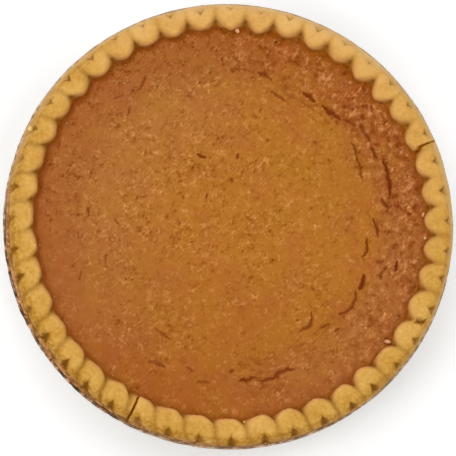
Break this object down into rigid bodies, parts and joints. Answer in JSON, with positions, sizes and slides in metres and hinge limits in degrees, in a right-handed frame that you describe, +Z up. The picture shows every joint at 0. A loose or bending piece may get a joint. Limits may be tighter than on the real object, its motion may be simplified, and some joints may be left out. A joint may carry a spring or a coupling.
{
  "type": "pumpkin pie",
  "caption": "Whole pumpkin pie with a fluted pastry rim and a cracked, sunken custard filling, in its foil pan.",
  "frame": {"origin": "centre of the foil pan's flat underside, on the surface that the pie stands on", "axes": "+Z up through the filling; +X and +Y lie in the pan's underside, with a split in the crust 21.5 degrees round from +X towards +Y and another at 243 degrees"},
  "size_m": [0.2538, 0.2538, 0.0451],
  "materials": {
    "foil": "bright rolled foil, a little crumpled",
    "pastry": "matt golden baked pastry",
    "custard": "satin baked pumpkin custard"
  },
  "bodies": {
    "root": {"foil_pan": "foil", "crust": "pastry", "filling": "custard"}
  },
  "joints": []
}
